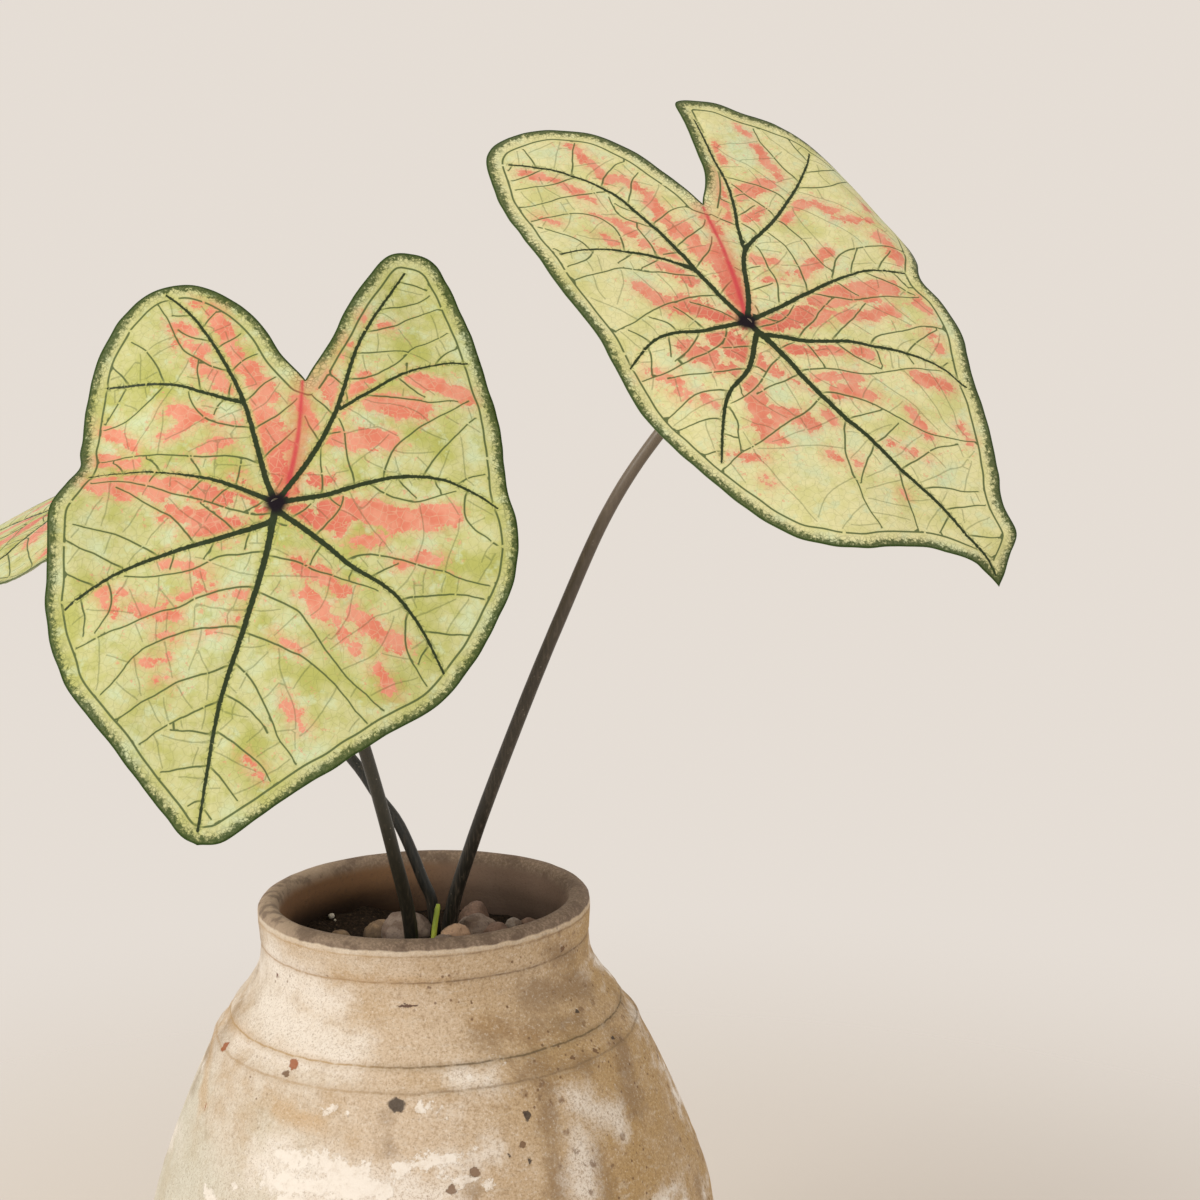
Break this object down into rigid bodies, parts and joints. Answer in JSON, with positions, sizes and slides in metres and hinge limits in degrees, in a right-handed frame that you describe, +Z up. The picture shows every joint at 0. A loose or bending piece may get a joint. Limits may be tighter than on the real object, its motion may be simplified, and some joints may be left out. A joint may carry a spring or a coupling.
{
  "type": "potted caladium",
  "caption": "Caladium with heart-shaped leaves on slender stems, growing in a tall round clay jar dressed with pebbles.",
  "frame": {"origin": "centre of the jar's flat base, where it stands on a surface", "axes": "+Z up along the jar's axis; -Y is the side that the two large leaves face"},
  "size_m": [0.481, 0.2761, 0.6428],
  "materials": {
    "clay": "matte",
    "soil": "matte",
    "tuber": "matte",
    "pebble": "matte",
    "petiole": "satin",
    "blade": "satin",
    "shoot": "satin"
  },
  "bodies": {
    "root": {"jar": "clay", "soil": "soil", "tuber": "tuber", "pebbles": "pebble", "petiole_left": "petiole", "petiole_right": "petiole", "petiole_back": "petiole", "blade_left": "blade", "blade_right": "blade", "blade_back": "blade", "shoot": "shoot"}
  },
  "joints": []
}
